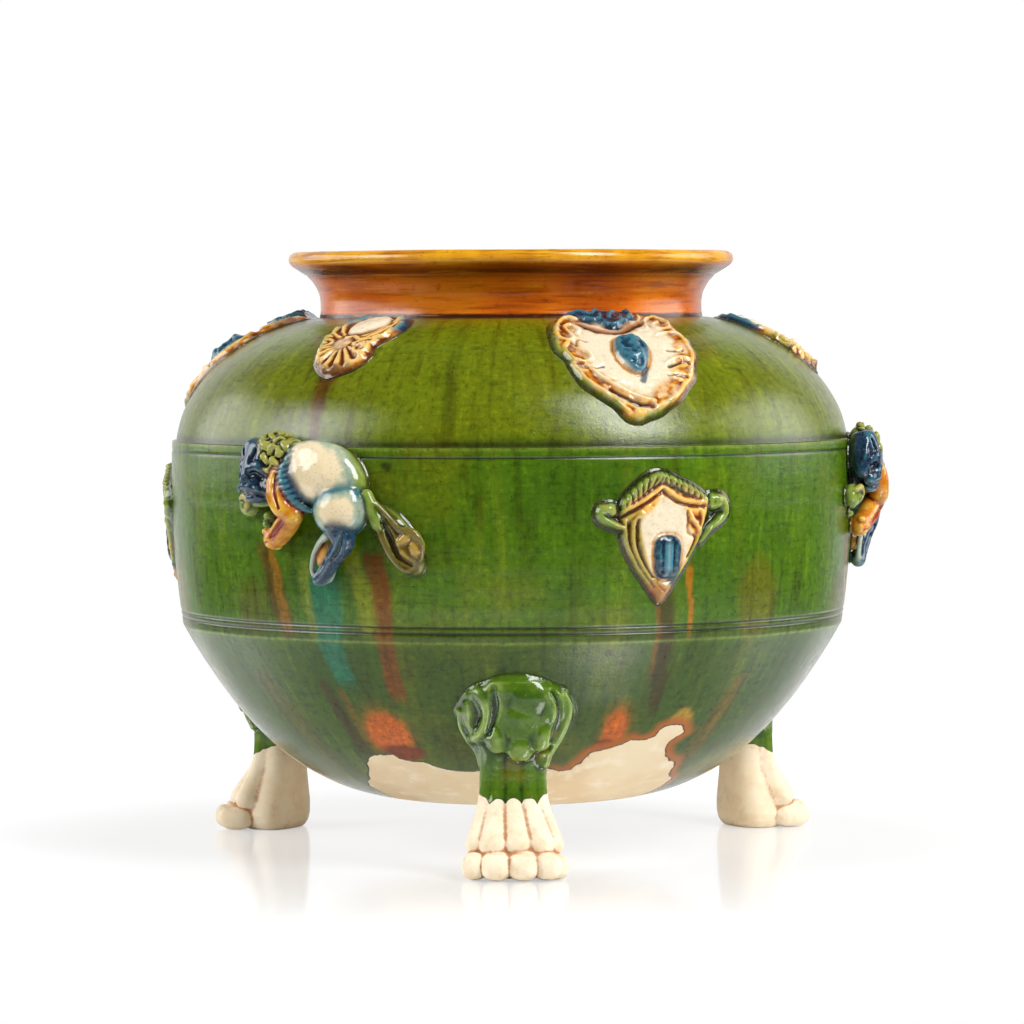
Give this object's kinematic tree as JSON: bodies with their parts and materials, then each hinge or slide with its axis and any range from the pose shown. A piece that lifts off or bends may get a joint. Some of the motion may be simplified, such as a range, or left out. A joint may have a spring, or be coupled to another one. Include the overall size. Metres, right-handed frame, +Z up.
{
  "type": "tripod incense burner",
  "caption": "Globular glazed earthenware censer with a waisted neck and an everted rim, standing on paw feet, with moulded sprigs on its shoulder and band.",
  "frame": {"origin": "on the table under the vessel's axis, at the level of the soles of the paws", "axes": "+Z up along the vessel's axis of turning, with the front leg towards -Y"},
  "size_m": [0.2381, 0.2299, 0.193],
  "materials": {
    "body_glaze": "glossy lead glaze, green with olive streaks over cream clay",
    "rim_glaze": "glossy lead glaze, amber with darker brown runs",
    "leg_glaze": "glossy green glaze down to the ankle, bare cream clay below",
    "medallion_glaze": "glossy clear glaze over cream clay, amber border and blue boss",
    "palmette_glaze": "glossy amber and clear glaze over cream clay",
    "pendant_glaze": "glossy amber frame, cream field and blue cabochon",
    "lion_glaze": "glossy blue, cream, amber and green glaze"
  },
  "bodies": {
    "root": {"vessel_body": "body_glaze", "neck_and_rim": "rim_glaze", "paw_leg_1": "leg_glaze", "paw_leg_2": "leg_glaze", "paw_leg_3": "leg_glaze", "shoulder_medallion_1": "medallion_glaze", "shoulder_medallion_2": "medallion_glaze", "shoulder_medallion_3": "medallion_glaze", "shoulder_palmette_1": "palmette_glaze", "shoulder_palmette_2": "palmette_glaze", "shoulder_palmette_3": "palmette_glaze", "band_pendant_1": "pendant_glaze", "band_pendant_2": "pendant_glaze", "band_pendant_3": "pendant_glaze", "band_lion_1": "lion_glaze", "band_lion_2": "lion_glaze", "band_lion_3": "lion_glaze"}
  },
  "joints": []
}
